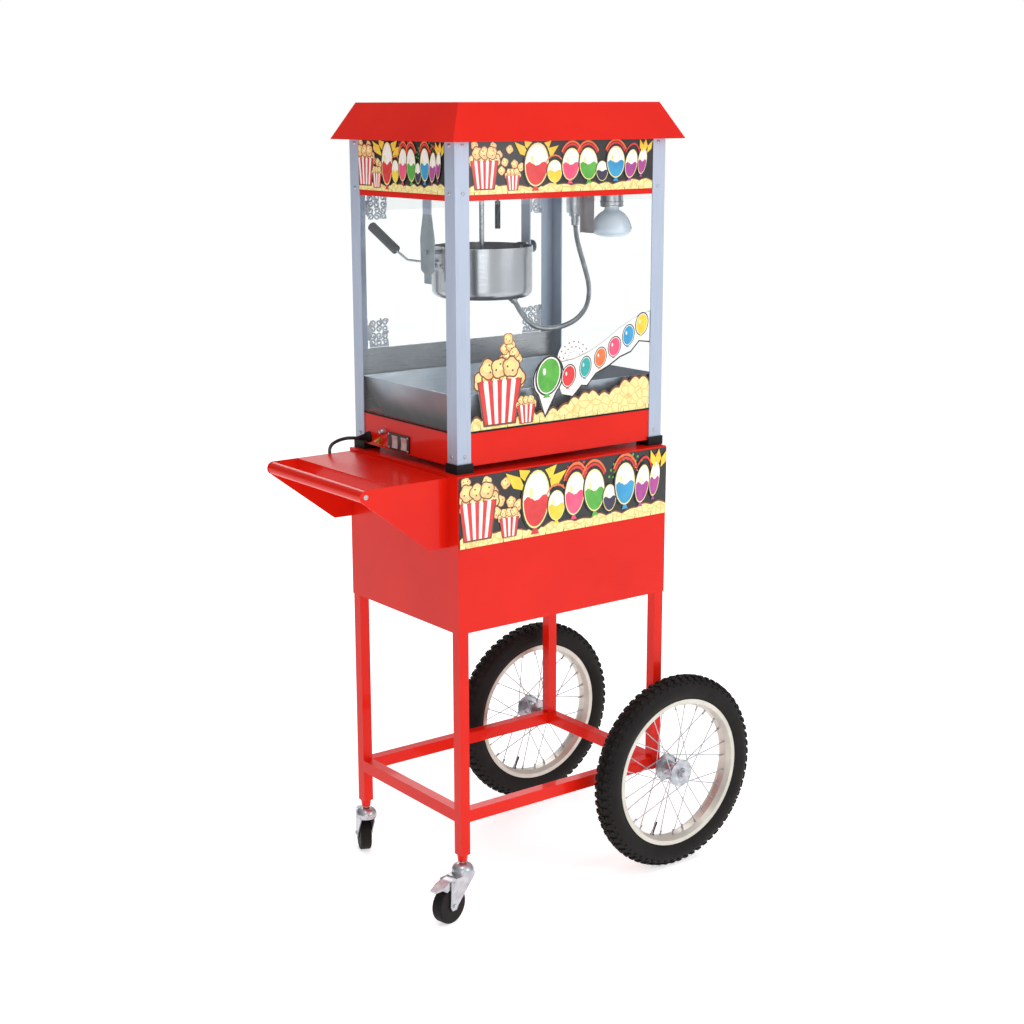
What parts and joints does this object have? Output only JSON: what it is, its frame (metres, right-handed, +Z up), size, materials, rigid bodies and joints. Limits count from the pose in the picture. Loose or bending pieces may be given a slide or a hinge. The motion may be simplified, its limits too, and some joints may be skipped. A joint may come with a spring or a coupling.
{
  "type": "popcorn maker",
  "caption": "kettle popcorn maker in a glass cabinet, on a push cart with two spoked wheels, two braked swivel casters and a side shelf",
  "frame": {"origin": "on the floor under the middle of the machine, push handle and wheels included", "axes": "+Z up, +X from the push handle to the spoked wheels, +Y from the customers' front to the operator's back"},
  "size_m": [0.916, 0.556, 1.577],
  "materials": {
    "stainless": "stainless",
    "red_paint": "glossy powder coat",
    "plated": "zinc and chrome plate",
    "black_plastic": "black",
    "post_aluminium": "satin anodised",
    "black_rubber": "black rubber",
    "clear_glass": "clear",
    "rim_alloy": "champagne",
    "tyre_rubber": "moulded rubber",
    "rocker_plastic": "pale",
    "lamp_glass": "frosted reflector",
    "brass": "bright",
    "printed_sign": "printed sheet"
  },
  "bodies": {
    "frame": {"back_panel": "stainless", "base_housing": "red_paint", "cart_legs": "red_paint", "cart_panels": "red_paint", "cart_top": "red_paint", "ceiling_plate": "stainless", "ceiling_sockets": "plated", "control_bezel": "black_plastic", "cord_coil": "black_plastic", "cord_gland": "black_plastic", "corner_posts": "post_aluminium", "cupboard_floor": "red_paint", "door_hinge_leaves": "plated", "frame_screws": "plated", "front_glass": "clear_glass", "gear_motor": "plated", "header_frame": "red_paint", "kettle_conduit": "plated", "kettle_hangers": "stainless", "lamp_bulb": "lamp_glass", "lower_rails": "red_paint", "main_axle": "plated", "mains_cord": "black_plastic", "mains_plug": "black_plastic", "panel_terminals": "brass", "popcorn_bin": "stainless", "push_handle": "red_paint", "push_shelf": "red_paint", "roof": "red_paint", "rubber_feet": "black_rubber", "side_glasses": "clear_glass", "signs": "printed_sign"},
    "front_caster": {"front_caster_fork": "plated"},
    "front_caster_roller": {"front_caster_wheel": "black_rubber"},
    "front_brake": {"front_caster_brake": "plated"},
    "rear_caster": {"rear_caster_fork": "plated"},
    "rear_caster_roller": {"rear_caster_wheel": "black_rubber"},
    "rear_brake": {"rear_caster_brake": "plated"},
    "front_wheel": {"front_tyre": "tyre_rubber", "front_rim": "rim_alloy", "front_spokes": "plated", "front_hub": "plated"},
    "rear_wheel": {"rear_tyre": "tyre_rubber", "rear_rim": "rim_alloy", "rear_spokes": "plated", "rear_hub": "plated"},
    "drawer": {"crumb_drawer": "stainless"},
    "left_door_leaf": {"left_door": "clear_glass", "left_door_fittings": "plated"},
    "right_door_leaf": {"right_door": "clear_glass", "right_door_fittings": "plated"},
    "heat_rocker": {"heat_switch": "rocker_plastic"},
    "motor_rocker": {"motor_switch": "rocker_plastic"},
    "kettle": {"kettle_pot": "stainless", "kettle_handle": "stainless", "kettle_grip": "black_plastic"},
    "stirrer": {"agitator": "stainless"},
    "motor_output": {"drive_shaft": "plated"},
    "drive_rod": {"stir_rod": "stainless"},
    "lever": {"lift_lever": "plated"}
  },
  "joints": [
    {"name": "front_caster_swivel", "type": "hinge", "parent": "frame", "child": "front_caster", "pos_m": [-0.2495, -0.1775, 0.1], "axis": [0, 0, 1], "continuous": true},
    {"name": "front_caster_roll", "type": "hinge", "parent": "front_caster", "child": "front_caster_roller", "pos_m": [-0.29042, -0.18695, 0.0375], "axis": [0.225, -0.9744, 0], "continuous": true},
    {"name": "front_brake_press", "type": "hinge", "parent": "front_caster", "child": "front_brake", "pos_m": [-0.29042, -0.18695, 0.086], "axis": [-0.225, 0.9744, 0], "range_deg": [0, 7]},
    {"name": "rear_caster_swivel", "type": "hinge", "parent": "frame", "child": "rear_caster", "pos_m": [-0.2495, 0.1775, 0.1], "axis": [0, 0, 1], "continuous": true},
    {"name": "rear_caster_roll", "type": "hinge", "parent": "rear_caster", "child": "rear_caster_roller", "pos_m": [-0.23242, 0.21587, 0.0375], "axis": [-0.9135, 0.4067, 0], "continuous": true},
    {"name": "rear_brake_press", "type": "hinge", "parent": "rear_caster", "child": "rear_brake", "pos_m": [-0.23242, 0.21587, 0.086], "axis": [0.9135, -0.4067, 0], "range_deg": [0, 7]},
    {"name": "front_wheel_roll", "type": "hinge", "parent": "frame", "child": "front_wheel", "pos_m": [0.2515, -0.24, 0.2065], "axis": [0, 1, 0], "continuous": true},
    {"name": "rear_wheel_roll", "type": "hinge", "parent": "frame", "child": "rear_wheel", "pos_m": [0.2515, 0.24, 0.2065], "axis": [0, 1, 0], "continuous": true},
    {"name": "drawer_slide", "type": "slide", "parent": "frame", "child": "drawer", "axis": [0, 1, 0], "range_m": [0, 0.2]},
    {"name": "left_door_swing", "type": "hinge", "parent": "frame", "child": "left_door_leaf", "pos_m": [-0.214, 0.1925, 1.247], "axis": [0, 0, 1], "range_deg": [0, 110]},
    {"name": "right_door_swing", "type": "hinge", "parent": "frame", "child": "right_door_leaf", "pos_m": [0.228, 0.1925, 1.247], "axis": [0, 0, -1], "range_deg": [0, 110]},
    {"name": "heat_switch_rock", "type": "hinge", "parent": "frame", "child": "heat_rocker", "pos_m": [-0.246, 0.0405, 0.9247], "axis": [0, 1, 0], "range_deg": [-8, 8]},
    {"name": "motor_switch_rock", "type": "hinge", "parent": "frame", "child": "motor_rocker", "pos_m": [-0.246, 0.0085, 0.9247], "axis": [0, 1, 0], "range_deg": [-8, 8]},
    {"name": "kettle_tilt", "type": "hinge", "parent": "frame", "child": "kettle", "pos_m": [-0.077, -0.017, 1.297], "axis": [-1, 0, 0], "range_deg": [0, 78], "deforming": ["kettle_conduit"]},
    {"name": "stirrer_spin", "type": "hinge", "parent": "kettle", "child": "stirrer", "pos_m": [-0.077, -0.017, 1.209], "axis": [0, 0, 1], "continuous": true},
    {"name": "motor_spin", "type": "hinge", "parent": "frame", "child": "motor_output", "pos_m": [-0.077, -0.017, 1.46], "axis": [0, 0, 1], "continuous": true},
    {"name": "rod_lift", "type": "slide", "parent": "motor_output", "child": "drive_rod", "axis": [0, 0, 1], "range_m": [0, 0.0105]},
    {"name": "lever_swing", "type": "hinge", "parent": "frame", "child": "lever", "pos_m": [-0.038, -0.017, 1.4285], "axis": [0, 1, 0], "range_deg": [0, 15]}
  ],
  "couplings": [
    {"joint": "stirrer_spin", "follows": "motor_spin", "ratio": 1},
    {"joint": "rod_lift", "follows": "lever_swing", "m_per_rad": 0.0386}
  ]
}
